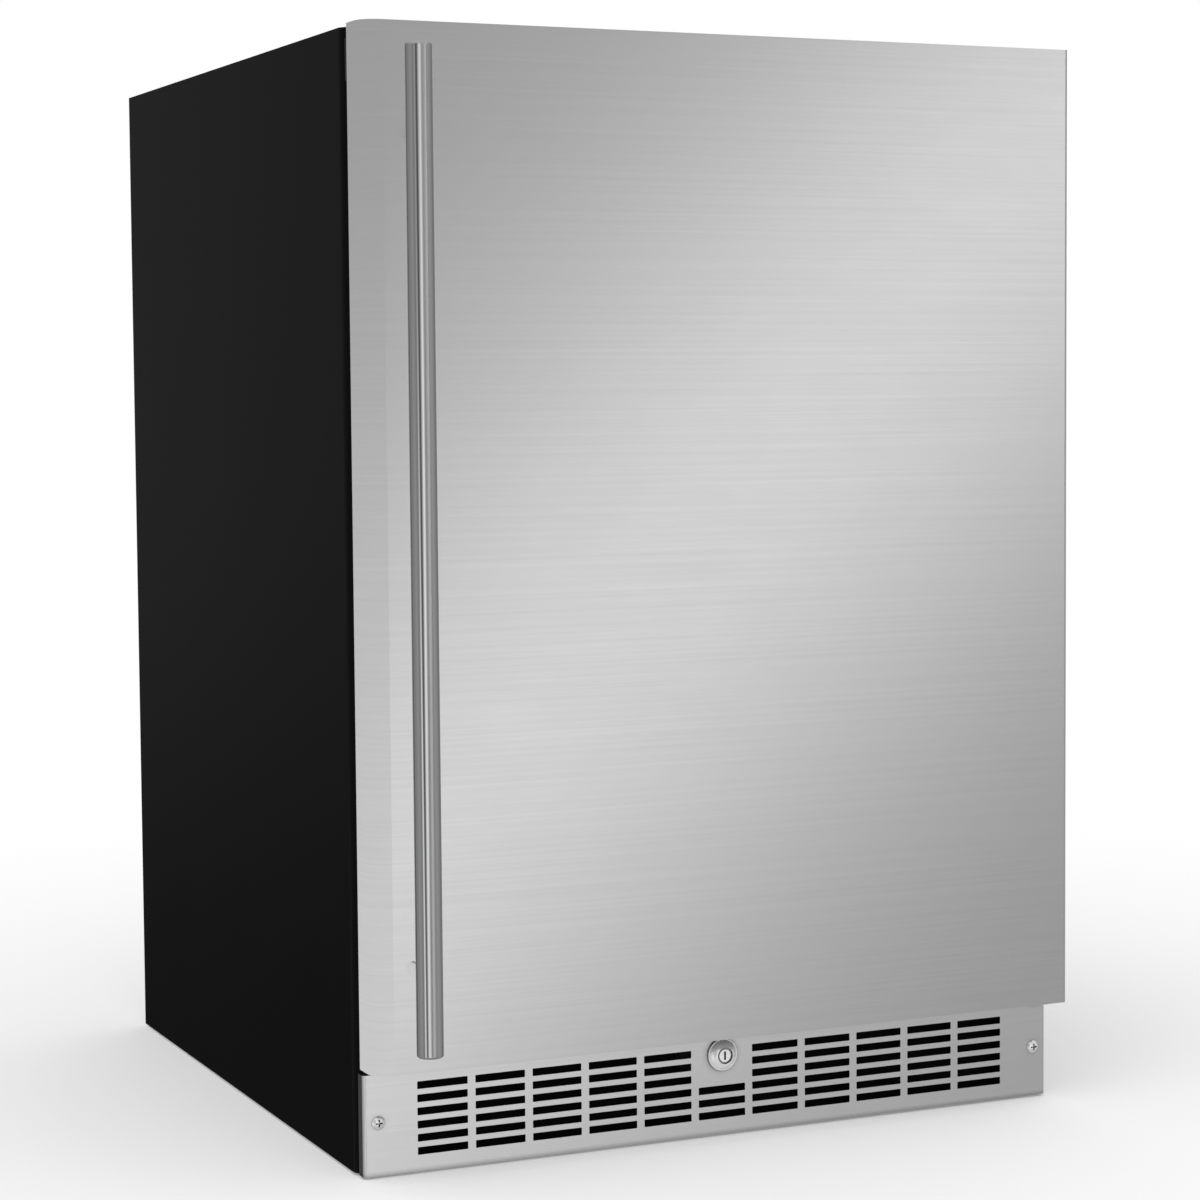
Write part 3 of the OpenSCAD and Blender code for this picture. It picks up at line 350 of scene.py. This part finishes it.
SHEET = brushed_steel("brushed_stainless_sheet")
DOOR = brushed_steel("brushed_stainless_door", tone=0.575, flat="left edge")
POST = brushed_steel("brushed_stainless_post", tone=0.575, flat="whole")
# The grille gets painted shade in its corners and slots
GRILLE = brushed_steel("brushed_stainless_grille", tone=0.64, roughness=0.24, crevice=0.006)
TUBE = brushed_steel("brushed_stainless_tube", tone=0.45, grain=(900, 900, 6), roughness=0.1,
                     anisotropy=0.1, turn=0.0, worn=0.2)
PAINT = black_paint("satin_black_paint")
ZINC = zinc_sheet("galvanised_sheet")
FOAM = rigid_foam("insulation_foam")
LINER = moulded("white_liner", (0.86, 0.875, 0.88), roughness=0.3, texture=260, depth=0.04, drift=0.015)
WHITE = moulded("white_moulding", (0.78, 0.79, 0.79), roughness=0.38, texture=500, depth=0.06)
BLACK = moulded("black_moulding", (0.018, 0.018, 0.019), roughness=0.5, texture=700, depth=0.12)
MAT = moulded("black_foam_mat", (0.004, 0.004, 0.004), roughness=0.95, texture=900, depth=0.6, specular=0.05)
RUBBER = moulded("black_rubber", (0.012, 0.012, 0.012), roughness=0.62, texture=900, depth=0.1, specular=0.3)
PALE = moulded("pale_moulding", (0.62, 0.61, 0.56), roughness=0.45, texture=500, depth=0.06)
ENAMEL = moulded("black_enamel", (0.012, 0.012, 0.013), roughness=0.2, texture=120, depth=0.1)
BOLT = plated("zinc_plated_steel", tone=0.62, roughness=0.28)
# Polished metal and screws get painted shade in their recesses
CHROME = plated("polished_nickel", tone=0.95, roughness=0.22, crevice=0.005, metallic=0.45)
SCREW = plated("bright_screw", tone=0.85, roughness=0.2, crevice=0.002, metallic=0.6)
FIN = plated("fin_aluminium", tone=0.8, roughness=0.34, wear=0.004)
COPPER = copper_tube("copper_tube")
GLASS = clear("shelf_glass", (0.98, 0.99, 0.985), (0.86, 0.94, 0.92))
CLEAR = clear("clear_plastic", (0.98, 0.985, 0.99), (0.9, 0.93, 0.95), haze=0.06)
LAMP = lamp_diffuser("lamp_diffuser")

# By the record's material slot, and by node where one node differs from the rest of its slot
LOOKS = {
    "brushed_stainless": SHEET, "black_paint": PAINT, "galvanised_steel": ZINC, "insulation": FOAM,
    "white_plastic": WHITE, "black_plastic": BLACK, "zinc_steel": BOLT, "polished_metal": CHROME,
    "black_rubber": RUBBER, "compressor_enamel": ENAMEL, "fin_aluminium": FIN, "copper": COPPER,
    "shelf_glass": GLASS, "clear_plastic": CLEAR, "pale_plastic": PALE,
}
SPECIAL = {
    "door_skin": DOOR, "toe_grille": GRILLE, "handle_tube": TUBE, "handle_posts": POST,
    "inner_liner": LINER, "door_liner": LINER, "lamp_lens": LAMP, "grille_screws": SCREW,
}


# Edges that catch the light: the width of their bevel in millimetres
EASED = {
    "upper_bin": 0.7, "lower_bin": 0.7, "crisper_drawer": 0.7, "crisper_cover": 0.6,
    "upper_shelf_frame": 0.6, "lower_shelf_frame": 0.6, "control_housing": 0.8, "thermostat_knob": 0.5,
    "lamp_lens": 0.5, "lock_strike": 0.3, "hinge_hole_cover": 0.5, "upper_hinge": 0.4,
    "lower_hinge": 0.4, "terminal_cover": 0.8, "door_end_caps": 0.4,
}
SLOTS = {part["node"]: part["material_slot"] for part in frame["record"]["subparts"]}


def dress(name, bevel):
    """Gives a CAD node its material, and eases its sharp edges by bevel millimetres."""
    node = NODES[name]
    look = SPECIAL.get(name) or LOOKS[SLOTS[name]]
    if not node.data.materials:
        node.data.materials.append(look)
    for i in range(len(node.data.materials)):
        node.data.materials[i] = look
    if bevel:
        made = node.modifiers.new("eased_edges", "BEVEL")
        made.width = bevel * MM
        made.segments = 2
        made.limit_method = "ANGLE"
        made.angle_limit = math.radians(35)


for node_name in NODES:
    dress(node_name, EASED.get(node_name, 0))
# The brushed door is too dull to mirror its handle
for node_name in ("handle_tube", "handle_posts"):
    NODES[node_name].visible_glossy = False


# ---------- pieces made here ----------

SHEET_T = 0.8 * MM
FILL_HOLES = (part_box("back_panel")[0][2] + 60 * MM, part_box("back_panel")[1][2] - 59 * MM)
REAR = (0, 1, 0)


def piece_from(name, bm, body, look, smooth):
    """Turns a bmesh into a piece that rides on a body, shaded smooth up to the given angle in degrees."""
    bmesh.ops.recalc_face_normals(bm, faces=bm.faces)
    mesh = bpy.data.meshes.new(name)
    bm.to_mesh(mesh)
    bm.free()
    made = bpy.data.objects.new(name, mesh)
    bpy.context.scene.collection.objects.link(made)
    mesh.materials.append(look)
    mesh.shade_smooth()
    mesh.set_sharp_from_angle(angle=math.radians(smooth))
    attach(made, body)
    return made


def sweep_frame(bm, profile, box, across, deep):
    """Runs a closed (inwards, depth) profile around a rectangle in the XZ plane, with mitred corners.
    across and deep are the metres that one unit of the profile stands for."""
    low, high = box
    corners = (
        (low[0], low[2], 1, 1), (high[0], low[2], -1, 1),
        (high[0], high[2], -1, -1), (low[0], high[2], 1, -1),
    )
    rings = [
        [bm.verts.new((x + sx * w * across, low[1] + d * deep, z + sz * w * across)) for w, d in profile]
        for x, z, sx, sz in corners
    ]
    for ring, after in zip(rings, rings[1:] + rings[:1]):
        for i in range(len(profile)):
            j = (i + 1) % len(profile)
            bm.faces.new((ring[i], ring[j], after[j], after[i]))


def lathe(bm, centre, direction, profile, sides=32):
    """Turns a profile of (radius, height) in millimetres around an axis. A radius of 0 closes the end."""
    turned = Vector(direction).to_track_quat("Z", "Y").to_matrix()
    rings = []
    for radius, height in profile:
        angles = [2 * math.pi * k / sides for k in range(sides if radius else 1)]
        local = [Vector((radius * math.cos(a), radius * math.sin(a), height)) * MM for a in angles]
        rings.append([bm.verts.new(Vector(centre) + turned @ point) for point in local])
    for ring, after in zip(rings, rings[1:]):
        for k in range(sides):
            m = (k + 1) % sides
            corners = [ring[k % len(ring)], ring[m % len(ring)], after[m % len(after)], after[k % len(after)]]
            bm.faces.new(list(dict.fromkeys(corners)))


def make_gasket():
    """Magnetic door seal: a flat magnet pocket on two bellows folds, tucked against the liner."""
    low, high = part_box("door_gasket")
    tall = 4.65
    profile = (
        (0.9, 0), (0.2, 0.25), (0, 0.6), (0.3, 0.95), (1.5, 1.3), (1.7, 1.55), (1.5, 1.8),
        (0.5, 2.1), (0.3, 2.4), (0.5, 2.7), (1.2, 2.95), (0.9, 3.3), (0.9, 4.2), (1.1, 4.5),
        (1.5, tall), (10.6, tall), (11, 4.5), (11.2, 4.2), (11.2, 3.3), (10.9, 2.95),
        (12.4, 2.5), (13.5, 1.6), (13.9, 0.7), (13.6, 0.15), (13, 0),
    )
    bm = bmesh.new()
    sweep_frame(bm, profile, (low, high), MM, (high[1] - low[1]) / tall)
    seal = piece_from("door_seal_bellows", bm, "door", RUBBER, 50)
    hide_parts("door_gasket")


def make_fill_plugs():
    """Push-in plugs in the two foam filling holes of the back panel."""
    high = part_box("back_panel")[1]
    bm = bmesh.new()
    crown = ((0, 0), (6.4, 0), (7.4, -0.12), (8.2, -0.4), (8.7, -0.75), (8.7, -2.6), (0, -2.6))
    for z in FILL_HOLES:
        lathe(bm, (0, high[1], z), REAR, crown)
    piece_from("foam_hole_plugs", bm, "cabinet", BLACK, 50)


def hex_screw(bm, centre):
    """Sheet metal screw on the rear: a thin washer face with a chamfered hexagon on it."""
    lathe(bm, centre, REAR, ((0, 0), (5.2, 0), (5.2, 0.3), (4.9, 0.55), (0, 0.55)))
    lathe(bm, centre, REAR, ((0, 0.4), (3.6, 0.4), (3.6, 1.7), (3.1, 2.0), (0, 2.0)), 6)


def make_rear_screws():
    """Screws that hold the back panel and the rear cover."""
    low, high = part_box("back_panel")
    cover_low, cover_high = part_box("rear_cover")
    bm = bmesh.new()
    inset = 9 * MM
    for x in (low[0] + inset, high[0] - inset):
        for k in range(4):
            z = low[2] + inset + k * (high[2] - low[2] - 2 * inset) / 3
            hex_screw(bm, (x, high[1], z))
    for k in (1, 2):
        x = low[0] + inset + k * (high[0] - low[0] - 2 * inset) / 3
        hex_screw(bm, (x, high[1], high[2] - inset))
        hex_screw(bm, (x, high[1], low[2] + inset))
    for x in (cover_low[0] + 2 * inset, cover_high[0] - 2 * inset):
        for z in (cover_low[2] + 2 * inset, cover_high[2] - inset):
            hex_screw(bm, (x, cover_low[1] + SHEET_T, z))
    piece_from("rear_screws", bm, "cabinet", BOLT, 35)


def make_filter():
    """Washable foam mat behind the toe grille, notched around the lock, with a slightly bumpy skin."""
    low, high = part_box("toe_grille")
    lock_low, lock_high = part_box("lock_body")
    half, bottom, top = high[0] - 34 * MM, low[2] + 2 * MM, high[2] - 2.5 * MM
    notch, notch_z = lock_high[0] + 20 * MM, lock_low[2] - 3 * MM
    front = high[1] + 1.5 * MM
    thick, set_back = 5 * MM, 0.9 * MM
    cell = 4 * MM
    columns, rows = round(2 * half / cell), round((top - bottom) / cell)
    bm = bmesh.new()
    sheet = []
    for j in range(rows + 1):
        z = bottom + (top - bottom) * j / rows
        sheet.append([bm.verts.new((-half + 2 * half * i / columns, front, z)) for i in range(columns + 1)])
    for j in range(rows):
        for i in range(columns):
            centre = sheet[j][i].co + Vector((cell / 2, 0, cell / 2))
            if abs(centre.x) > notch or centre.z < notch_z:
                bm.faces.new((sheet[j][i], sheet[j][i + 1], sheet[j + 1][i + 1], sheet[j + 1][i]))
    bmesh.ops.delete(bm, geom=[v for v in bm.verts if not v.link_faces], context="VERTS")
    edge = {v for v in bm.verts if v.is_boundary}
    for v in bm.verts:
        ripple = noise.noise(v.co * 60) * 0.25 + noise.noise(v.co * 170) * 0.15
        v.co.y += (set_back if v in edge else 0) + ripple * MM
    back = bmesh.ops.duplicate(bm, geom=bm.verts[:] + bm.edges[:] + bm.faces[:])
    twins = back["vert_map"]
    for v in back["geom"]:
        if isinstance(v, bmesh.types.BMVert):
            v.co.y = front + thick - (v.co.y - front)
    for e in [e for e in bm.edges if e.is_boundary and e.verts[0] in edge]:
        a, b = e.verts
        bm.faces.new((a, b, twins[b], twins[a]))
    piece_from("grille_filter_mat", bm, "cabinet", MAT, 60)


def make_knob_marks():
    """Printed ticks around the face of the temperature knob, longer towards the cold end."""
    low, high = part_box("thermostat_knob")
    cx, cz = (low[0] + high[0]) / 2, (low[2] + high[2]) / 2
    centre = Vector((cx, low[1], cz))
    outer = (high[0] - low[0]) / 2 - 2 * MM
    bm = bmesh.new()
    for k in range(7):
        angle = math.radians(-120 + 40 * k)
        out = Vector((math.sin(angle), 0, math.cos(angle)))
        side = Vector((out.z, 0, -out.x)) * 0.35 * MM
        inner = outer - (1.4 + 0.3 * k) * MM
        corners = ((inner, -1), (outer, -1), (outer, 1), (inner, 1))
        base = [centre + out * r + side * w for r, w in corners]
        lower = [bm.verts.new(p + Vector((0, 0.1 * MM, 0))) for p in base]
        upper = [bm.verts.new(p + Vector((0, -0.12 * MM, 0))) for p in base]
        bm.faces.new(upper)
        bm.faces.new(lower[::-1])
        for i in range(4):
            j = (i + 1) % 4
            bm.faces.new((lower[i], lower[j], upper[j], upper[i]))
    piece_from("knob_marks", bm, "knob", BLACK, 30)


def serpentine(half, bottom, top, passes):
    """Points of a line that runs to and fro across a plate, with round turns."""
    pitch = (top - bottom) / (passes - 1)
    bend = pitch / 2
    reach = half - bend
    points = []
    for k in range(passes):
        side = 1 if k % 2 == 0 else -1
        z = top - k * pitch
        points += [(side * reach * t, z) for t in (-1, -0.5, 0, 0.5, 1)]
        if k < passes - 1:
            angles = [math.pi * step / 8 for step in range(1, 8)]
            points += [(side * (reach + bend * math.sin(a)), z - bend + bend * math.cos(a)) for a in angles]
    return points


def make_channels():
    """Raised coolant channels pressed into the cold plate at the back of the cabinet."""
    low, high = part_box("evaporator")
    inset, passes = 16 * MM, 10
    line = serpentine(high[0] - inset, low[2] + inset, high[2] - inset, passes)
    wide, tall = 4.5 * MM, 1.7 * MM
    arc = [math.pi * k / 6 for k in range(7)]
    bm = bmesh.new()
    rings = []
    for i, (x, z) in enumerate(line):
        before, after = line[max(i - 1, 0)], line[min(i + 1, len(line) - 1)]
        along = Vector((after[0] - before[0], 0, after[1] - before[1])).normalized()
        across = Vector((along.z, 0, -along.x))
        height = tall * (0.1 if i in (0, len(line) - 1) else 1)
        place = Vector((x, low[1] + 0.1 * MM, z))
        shape = [across * wide * math.cos(a) - Vector((0, height * math.sin(a), 0)) for a in arc]
        rings.append([bm.verts.new(place + point) for point in shape])
    for ring, following in zip(rings, rings[1:]):
        for k in range(len(arc)):
            m = (k + 1) % len(arc)
            bm.faces.new((ring[k], ring[m], following[m], following[k]))
    bm.faces.new(rings[0])
    bm.faces.new(rings[-1][::-1])
    piece_from("evaporator_channels", bm, "cabinet", FIN, 60)


make_gasket()
make_fill_plugs()
make_rear_screws()
make_filter()
make_knob_marks()
make_channels()


# ---------- studio ----------

def floor_material():
    """Pale matte floor that fades into the white backdrop away from the object."""
    s = Shader("pale_floor")
    grain = s.noise(900, detail=3)
    s.set("Base Color", s.colours(s.remap(grain, 0, 1), (0.86, 0.86, 0.86), (0.89, 0.89, 0.89)))
    s.set("Roughness", 0.7)
    s.set("Specular IOR Level", 0.1)
    reach = s.node("ShaderNodeVectorMath", operation="LENGTH")
    s.link(s.place, reach.inputs[0])
    fade = s.remap(reach.outputs["Value"], 0.25, 1, 0.45, 1.5)
    glow = s.node("ShaderNodeEmission")
    blend = s.node("ShaderNodeMixShader")
    s.link(fade, blend.inputs[0])
    s.link(s.bsdf.outputs[0], blend.inputs[1])
    s.link(glow.outputs[0], blend.inputs[2])
    s.link(blend.outputs[0], s.tree.nodes["Material Output"].inputs["Surface"])
    return s.material


def make_floor():
    """Wide floor under the object."""
    mesh = bpy.data.meshes.new("floor")
    edge = 40
    corners = [(-edge, -edge, 0), (edge, -edge, 0), (edge, edge, 0), (-edge, edge, 0)]
    mesh.from_pydata(corners, [], [(0, 1, 2, 3)])
    mesh.materials.append(floor_material())
    floor = bpy.data.objects.new("floor", mesh)
    bpy.context.scene.collection.objects.link(floor)
    floor.visible_glossy = False


class Maths:
    """Arithmetic on world node sockets."""

    def __init__(self, tree):
        self.tree = tree

    def do(self, operation, first, second=0.0, clamp=False):
        made = self.tree.nodes.new("ShaderNodeMath")
        made.operation = operation
        made.use_clamp = clamp
        for socket, value in zip(made.inputs, (first, second)):
            if isinstance(value, bpy.types.NodeSocket):
                self.tree.links.new(value, socket)
            else:
                socket.default_value = value
        return made.outputs[0]

    def hump(self, value, middle, width):
        """1 at the middle, falling off smoothly to 0 over about the width on both sides."""
        off = self.do("DIVIDE", self.do("SUBTRACT", value, middle), width)
        square = self.do("MULTIPLY", off, off)
        return self.do("EXPONENT", self.do("MULTIPLY", square, -1.0))

    def ramp(self, value, low, high):
        """0 at low, 1 at high, straight between them."""
        return self.do("DIVIDE", self.do("SUBTRACT", value, low), high - low, clamp=True)

    def mix(self, factor, first, second):
        return self.do("ADD", first, self.do("MULTIPLY", factor, self.do("SUBTRACT", second, first)))


# What shiny surfaces see around the horizon: degrees from the front towards the right, and brightness
STUDIO_PANELS = (
    (-180, 0.2), (-172, 0.15), (-150, 0.15), (-142, 0.38), (-112, 0.44), (-93, 0.54), (-82, 0.46),
    (-72, 0.38), (-66, 0.4), (-61, 0.58), (-53, 0.58), (-48, 0.2), (-38, 0.14), (-30, 0.6),
    (-22, 0.95), (-12, 0.95), (-6, 0.5), (0, 0.26), (8, 0.28), (14, 0.45), (40, 0.42),
    (48, 0.5), (60, 0.58), (72, 0.52), (90, 0.44), (110, 0.42), (140, 0.34), (165, 0.26),
    (180, 0.2),
)
# Soft slanting bands across the front: place, width and strength
STUDIO_BANDS = ((0.0, 0.115, 1.3), (0.74, 0.2, 0.6))
BAND_SLOPE = 0.923
BAND_START = 0.512
# Narrow window on the left, which the door's left edge mirrors: degrees, and its brightness low down
WINDOW_AT = -57
WINDOW_WIDTH = 6
WINDOW_LEVEL = 0.8
# What shiny surfaces see overhead, below, and low down behind the object
OVERHEAD, UNDERFOOT, BEHIND = 0.8, 0.4, 0.02


def make_world():
    """White backdrop for the camera, and soft panels of light and shade that only shiny surfaces see."""
    world = bpy.data.worlds.new("studio")
    bpy.context.scene.world = world
    world.use_nodes = True
    world.cycles.sampling_method = "NONE"
    tree = world.node_tree
    tree.nodes.clear()
    maths = Maths(tree)
    place = tree.nodes.new("ShaderNodeTexCoord")
    split = tree.nodes.new("ShaderNodeSeparateXYZ")
    tree.links.new(place.outputs["Generated"], split.inputs[0])
    x, y, z = split.outputs
    ahead = maths.do("MULTIPLY", y, -1.0)
    turn = maths.do("ARCTAN2", x, ahead)
    panels = tree.nodes.new("ShaderNodeValToRGB")
    tree.links.new(maths.do("ADD", maths.do("DIVIDE", turn, 2 * math.pi), 0.5), panels.inputs["Fac"])
    stops = panels.color_ramp.elements
    while len(stops) > 1:
        stops.remove(stops[0])
    for i, (degrees, brightness) in enumerate(STUDIO_PANELS):
        stop = stops[0] if i == 0 else stops.new(degrees / 360 + 0.5)
        stop.position = degrees / 360 + 0.5
        stop.color = (brightness, brightness, brightness, 1)
    ring = tree.nodes.new("ShaderNodeRGBToBW")
    tree.links.new(panels.outputs["Color"], ring.inputs[0])

    depth = maths.do("MAXIMUM", ahead, 0.05)
    across = maths.do("DIVIDE", x, depth)
    rise = maths.do("DIVIDE", z, depth)
    slant = maths.do("ADD", maths.do("SUBTRACT", rise, maths.do("MULTIPLY", across, BAND_SLOPE)), BAND_START)
    front = maths.ramp(ahead, 0.1, 0.45)
    shiny = ring.outputs[0]
    for middle, width, strength in STUDIO_BANDS:
        band = maths.do("MULTIPLY", maths.hump(slant, middle, width), strength)
        shiny = maths.do("ADD", shiny, maths.do("MULTIPLY", band, front))
    window = maths.hump(turn, math.radians(WINDOW_AT), math.radians(WINDOW_WIDTH))
    lowered = maths.mix(maths.ramp(z, 0.04, -0.1), 0.0, WINDOW_LEVEL)
    shiny = maths.do("ADD", shiny, maths.do("MULTIPLY", window, lowered))
    above = maths.ramp(z, 0.3, 0.8)
    below = maths.ramp(z, -0.3, -0.8)
    behind = maths.do("MULTIPLY", maths.ramp(y, 0.75, 0.95), maths.ramp(z, -0.06, -0.2))
    shiny = maths.mix(above, shiny, OVERHEAD)
    shiny = maths.mix(below, shiny, UNDERFOOT)
    shiny = maths.mix(behind, shiny, BEHIND)

    rays = tree.nodes.new("ShaderNodeLightPath")
    plain = maths.mix(maths.ramp(z, -0.2, 0.9), 0.7, 1.0)
    level = maths.mix(rays.outputs["Is Glossy Ray"], plain, shiny)
    level = maths.mix(rays.outputs["Is Camera Ray"], level, 1.0)
    light = tree.nodes.new("ShaderNodeBackground")
    light.inputs["Color"].default_value = (1, 1, 1, 1)
    tree.links.new(level, light.inputs["Strength"])
    out = tree.nodes.new("ShaderNodeOutputWorld")
    tree.links.new(light.outputs[0], out.inputs["Surface"])


def area_light(name, place, target, size, power):
    """Soft rectangular lamp that mirrors don't show."""
    lamp = bpy.data.lights.new(name, "AREA")
    lamp.shape = "RECTANGLE"
    lamp.size, lamp.size_y = size
    lamp.energy = power
    made = bpy.data.objects.new(name, lamp)
    bpy.context.scene.collection.objects.link(made)
    made.location = place
    made.rotation_mode = "QUATERNION"
    made.rotation_quaternion = (Vector(target) - Vector(place)).to_track_quat("-Z", "Y")
    made.visible_glossy = False


def make_camera():
    """Camera at the reference angle. Its place is given from the middle of the cabinet's front plane."""
    face_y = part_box("outer_wrap")[0][1]
    turn = math.radians(CAMERA_AZIMUTH)
    down = math.radians(CAMERA_PITCH)
    roll = math.radians(CAMERA_ROLL)
    ahead = Vector((math.sin(turn) * math.cos(down), math.cos(turn) * math.cos(down), -math.sin(down)))
    side = Vector((math.cos(turn), -math.sin(turn), 0))
    up = side.cross(ahead)
    right = side * math.cos(roll) + up * math.sin(roll)
    top = up * math.cos(roll) - side * math.sin(roll)
    data = bpy.data.cameras.new("camera")
    data.lens = CAMERA_LENS
    data.shift_y = CAMERA_SHIFT
    camera = bpy.data.objects.new("camera", data)
    bpy.context.scene.collection.objects.link(camera)
    turned = Matrix((right, top, -ahead)).transposed().to_4x4()
    across, back, height = CAMERA_FROM_FACE
    camera.matrix_world = Matrix.Translation((across, face_y + back, height)) @ turned
    bpy.context.scene.camera = camera


make_floor()
make_world()
area_light("overhead", (-0.6, -1.4, 2.8), (0, 0, 0.3), (2.4, 2.4), 30)
make_camera()
bpy.context.scene.view_settings.view_transform = "Standard"
